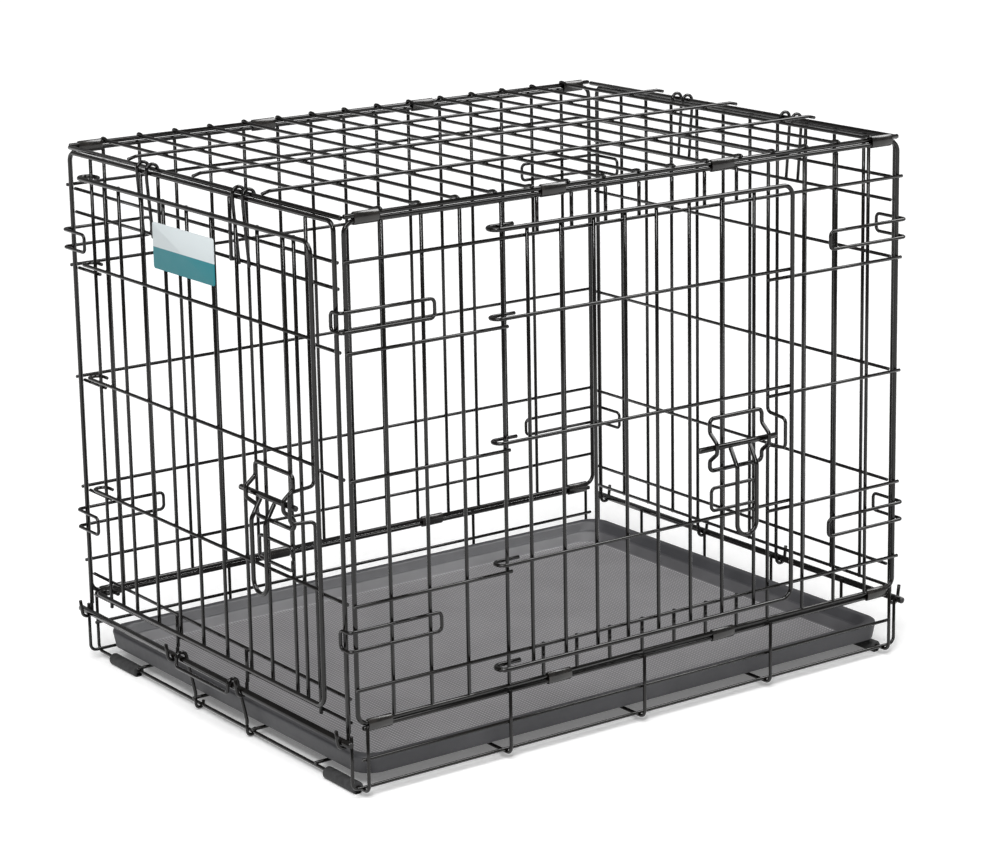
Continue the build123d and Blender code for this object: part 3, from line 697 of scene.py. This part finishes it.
def footMesh(name, foot, x, y):
    shape = bmesh.new()
    bmesh.ops.create_cone(shape, cap_ends=True, segments=foot["facets"], radius1=foot["wide"],
                          radius2=foot["wide"], depth=foot["long"],
                          matrix=Matrix.Rotation(math.pi / 2, 4, "X"))
    bmesh.ops.scale(shape, vec=(1, 1, foot["tall"] / foot["wide"]), verts=shape.verts)
    bmesh.ops.translate(shape, vec=(0, 0, foot["centre"]), verts=shape.verts)
    whole = shape.verts[:] + shape.edges[:] + shape.faces[:]
    cut = bmesh.ops.bisect_plane(shape, geom=whole, plane_no=(0, 0, 1), clear_inner=True)
    bmesh.ops.contextual_create(shape, geom=edgesIn(cut["geom_cut"]))
    bmesh.ops.recalc_face_normals(shape, faces=shape.faces)
    caps = [face for face in shape.faces if abs(face.normal.y) > endOn]
    rims = {edge for cap in caps for edge in cap.edges if max(vert.co.z for vert in edge.verts) > offFloor}
    softened(shape, list(rims), foot["soft"], 4)
    for end in (-1, 1):
        caps = [face for face in shape.faces if face.normal.y * end > endOn]
        cap = max(caps, key=lambda face: face.calc_area())
        bmesh.ops.inset_individual(shape, faces=[cap], thickness=foot["border"])
        bmesh.ops.translate(shape, vec=(0, 0, foot["lift"]), verts=cap.verts)
        pushed = bmesh.ops.extrude_discrete_faces(shape, faces=[cap])["faces"][0]
        bmesh.ops.translate(shape, vec=(0, -end * foot["deep"], 0), verts=pushed.verts)
    return finished(shape, name, Matrix.Translation((x, y, 0)))


for number, (x, y) in enumerate(footSpots, 1):
    name = f"foot{number}Sleeve"
    addPiece(name, footMesh(name, footSleeve, x, y), rubber, "crate", f"rubber_foot_{number}")
print("feet made")

# Pan: one moulded wall, from the lip's edge over the rim and down the stepped inside to the floor.
# Each step is a distance in from the rim's edge and a height
panMould = dict(long=285, wide=217, middle=3, corner=19.44, facets=9, wall=2.2,
                lip=((0.0, 28.4), (0.5, 25.6), (1.4, 19.0), (2.0, 15.13)),
                inside=((0.0, 28.4), (0.35, 29.8), (1.2, 30.63), (6.2, 30.63), (7.4, 30.2), (8.2, 29.2),
                        (11.2, 23.6), (11.9, 22.8), (13.8, 22.5), (14.6, 21.7), (18.8, 15.0), (20.0, 13.7),
                        (21.4, 13.25), (23.0, 13.13)))


def stepped(shape, mould, verts, before, after):
    grow = [(mould[side] - after[0]) / (mould[side] - before[0]) for side in ("long", "wide")]
    bmesh.ops.scale(shape, vec=(*grow, 1), verts=verts)
    bmesh.ops.translate(shape, vec=(0, 0, after[1] - before[1]), verts=verts)


def panMesh(name, mould):
    shape = bmesh.new()
    bmesh.ops.create_grid(shape, x_segments=1, y_segments=1, size=1)
    bmesh.ops.scale(shape, vec=(mould["long"], mould["wide"], 1), verts=shape.verts)
    softened(shape, shape.verts[:], mould["corner"], mould["facets"], "VERTICES")
    bmesh.ops.translate(shape, vec=(0, 0, mould["inside"][0][1]), verts=shape.verts)
    edges, face = shape.edges[:], shape.faces[:][0]
    for before, after in zip(mould["lip"], mould["lip"][1:]):
        pulled = bmesh.ops.extrude_edge_only(shape, edges=edges)["geom"]
        verts = set(vertsIn(pulled))
        edges = [edge for edge in edgesIn(pulled) if set(edge.verts) <= verts]
        stepped(shape, mould, list(verts), before, after)
    for before, after in zip(mould["inside"], mould["inside"][1:]):
        face = bmesh.ops.extrude_discrete_faces(shape, faces=[face])["faces"][0]
        stepped(shape, mould, face.verts[:], before, after)
    bmesh.ops.remove_doubles(shape, verts=shape.verts, dist=0.001)
    bmesh.ops.recalc_face_normals(shape, faces=shape.faces)
    if face.normal.z < 0:
        bmesh.ops.reverse_faces(shape, faces=shape.faces)
    bmesh.ops.solidify(shape, geom=shape.faces[:], thickness=mould["wall"])
    return finished(shape, name, Matrix.Translation((mould["middle"], 0, 0)))


addPiece("panTray", panMesh("panTray", panMould), plastic, "pan", "pan")
print("pan made")

# Card: a blank board clipped in front of the end door's uprights
blankCard = dict(wide=101, tall=40, thick=1.0, corner=2.5, facets=6, soft=0.25, spot=(-5, 417))


def cardMesh(name, card):
    origin, along, out = walls["front"]
    shape = bmesh.new()
    bmesh.ops.create_grid(shape, x_segments=1, y_segments=1, size=0.5)
    bmesh.ops.scale(shape, vec=(card["wide"], card["tall"], 1), verts=shape.verts)
    softened(shape, shape.verts[:], card["corner"], card["facets"], "VERTICES")
    raised = bmesh.ops.extrude_face_region(shape, geom=shape.faces[:])["geom"]
    bmesh.ops.translate(shape, vec=(0, 0, card["thick"]), verts=vertsIn(raised))
    bmesh.ops.recalc_face_normals(shape, faces=shape.faces)
    softened(shape, [edge for edge in shape.edges if edge.calc_face_angle(0) > sharpTurn], card["soft"], 2)
    turn = Matrix((along, Vector((0, 0, 1)), out)).transposed().to_4x4()
    spot = origin + along * card["spot"][0] + Vector((0, 0, card["spot"][1])) + out * doorFace
    return finished(shape, name, Matrix.Translation(spot) @ turn)


addPiece("blankCard", cardMesh("blankCard", blankCard), board, "front_door", "label_card")
print("card made")

# Resistance welds: a squeezed bead of steel where two wires cross
weldBead = dict(radius=1.75, squeeze=0.9, around=8, rings=4)


def beadMesh(name, bead, spots):
    shape = bmesh.new()
    flatten = Matrix.Diagonal((1, 1, bead["squeeze"], 1))
    for spot in spots:
        bmesh.ops.create_uvsphere(shape, u_segments=bead["around"], v_segments=bead["rings"],
                                  radius=bead["radius"], matrix=Matrix.Translation(spot) @ flatten)
    return finished(shape, name, sharp=180)


def crossings(wall, spots, heights, out):
    return onWall(wall, [(spot, height, out) for spot in spots for height in heights])


crateBeads = crossings("back", gridSteps, sideRows, uprightR)
crateBeads += crossings("side", sideSpots, sideRows, uprightR)
crateBeads += crossings("side", sideInner, [headerZ, sideSillZ], uprightR)
crateBeads += [Vector((x, y, (topLow + topHigh) / 2)) for x in gridSteps for y in topSpots]
weldSpots = dict(
    crate=crateBeads,
    rear_panel=crossings("rear", rearSpots + legSpots, endRows + endBars, -uprightR),
    front_panel=crossings("front", legSpots, endRows, -uprightR),
    side_door=crossings("side", sideDoor["spots"], doorBars, doorFace),
    front_door=crossings("front", frontDoor["spots"], doorBars, doorFace),
)
for body, spots in weldSpots.items():
    name = camel(body) + "Welds"
    addPiece(name, beadMesh(name, weldBead, spots), coatedWire, body)
print("welds made")

# Camera at the photograph's viewing angle: degrees, metres, and a lens in millimetres
viewpoint = dict(heading=54.502, dip=13.238, tilt=-1.026, spot=(-1.52025, -2.15229, 0.91351), sensor=36,
                 lens=109.02, shift=-0.08)
heading, dip, tilt = [math.radians(viewpoint[angle]) for angle in ("heading", "dip", "tilt")]
forward = Vector((math.cos(heading) * math.cos(dip), math.sin(heading) * math.cos(dip), -math.sin(dip)))
level = Vector((math.sin(heading), -math.cos(heading), 0))
across = level * math.cos(tilt) + level.cross(forward) * math.sin(tilt)
camera = bpy.data.objects.new("camera", bpy.data.cameras.new("camera"))
scene.collection.objects.link(camera)
turn = Matrix((across, across.cross(forward), forward * -1)).transposed()
camera.matrix_world = Matrix.Translation(viewpoint["spot"]) @ turn.to_4x4()
camera.data.sensor_width = viewpoint["sensor"]
camera.data.lens = viewpoint["lens"]
camera.data.shift_y = viewpoint["shift"]
scene.camera = camera

# Pale floor: white where it is seen or mirrored, greyer for the light that it throws back at the wires
paleFloor = dict(size=60, seen="#fdfdfd", bounced="#cccccc", glow="#ffffff", lift=0.15, matt=0.9)
floorMesh = bpy.data.meshes.new("floor")
shape = bmesh.new()
bmesh.ops.create_grid(shape, x_segments=2, y_segments=2, size=paleFloor["size"])
shape.to_mesh(floorMesh)
shape.free()
floor = bpy.data.objects.new("floor", floorMesh)
scene.collection.objects.link(floor)
floorMaterial, tree, shader, _ = newMaterial("paleFloor")
shader.inputs["Roughness"].default_value = paleFloor["matt"]
rays = addNode(tree, "LightPath").outputs
mirrored = addNode(tree, "Math", {0: rays["Is Glossy Ray"], 1: rays["Is Transmission Ray"]},
                   operation="MAXIMUM").outputs["Value"]
seen = addNode(tree, "Math", {0: rays["Is Camera Ray"], 1: mirrored}, operation="MAXIMUM").outputs["Value"]
paint = addNode(tree, "Mix", {"Factor": seen}, data_type="RGBA",
                A=linear(paleFloor["bounced"]), B=linear(paleFloor["seen"]))
tree.links.new(paint.outputs["Result"], shader.inputs["Base Color"])
lifted = addNode(tree, "Math", {0: seen}, operation="MULTIPLY")
lifted.inputs[1].default_value = paleFloor["lift"]
glow = addNode(tree, "Emission", {"Strength": lifted.outputs["Value"]}, Color=linear(paleFloor["glow"]))
both = addNode(tree, "AddShader", {0: shader.outputs["BSDF"], 1: glow.outputs["Emission"]})
tree.links.new(both.outputs["Shader"], tree.nodes["Material Output"].inputs["Surface"])
floorMesh.materials.append(floorMaterial)

# Soft studio light: a broad overhead source, a key from the front left, and a card above on the right
# that shows only in the gloss. A width is in degrees for the sun, and in metres for the others
lamps = [
    dict(name="overheadLight", kind="SUN", energy=2.7, width=45, spot=(-1.15, -1.15, 3.0), gleamOnly=False),
    dict(name="keyLight", kind="AREA", energy=30, width=0.45, spot=(-1.9, -2.2, 2.0), gleamOnly=False),
    dict(name="stripCard", kind="AREA", energy=110, width=2.0, spot=(1.7, -0.4, 2.5), gleamOnly=True),
]
lampAim = Vector((0, 0, 0.2))
for lamp in lamps:
    light = bpy.data.lights.new(lamp["name"], lamp["kind"])
    light.energy = lamp["energy"]
    if lamp["kind"] == "SUN":
        light.angle = math.radians(lamp["width"])
    else:
        light.size = lamp["width"]
    holder = bpy.data.objects.new(lamp["name"], light)
    scene.collection.objects.link(holder)
    holder.visible_camera = False
    holder.visible_diffuse = not lamp["gleamOnly"]
    holder.location = lamp["spot"]
    holder.rotation_euler = (lampAim - Vector(lamp["spot"])).to_track_quat("-Z", "Y").to_euler()

studio = dict(colour="#fbfbfb", strength=0.25)
world = bpy.data.worlds.new("studio")
scene.world = world
world.use_nodes = True
surround = world.node_tree.nodes["Background"]
surround.inputs["Color"].default_value = linear(studio["colour"])
surround.inputs["Strength"].default_value = studio["strength"]
print("stage made")
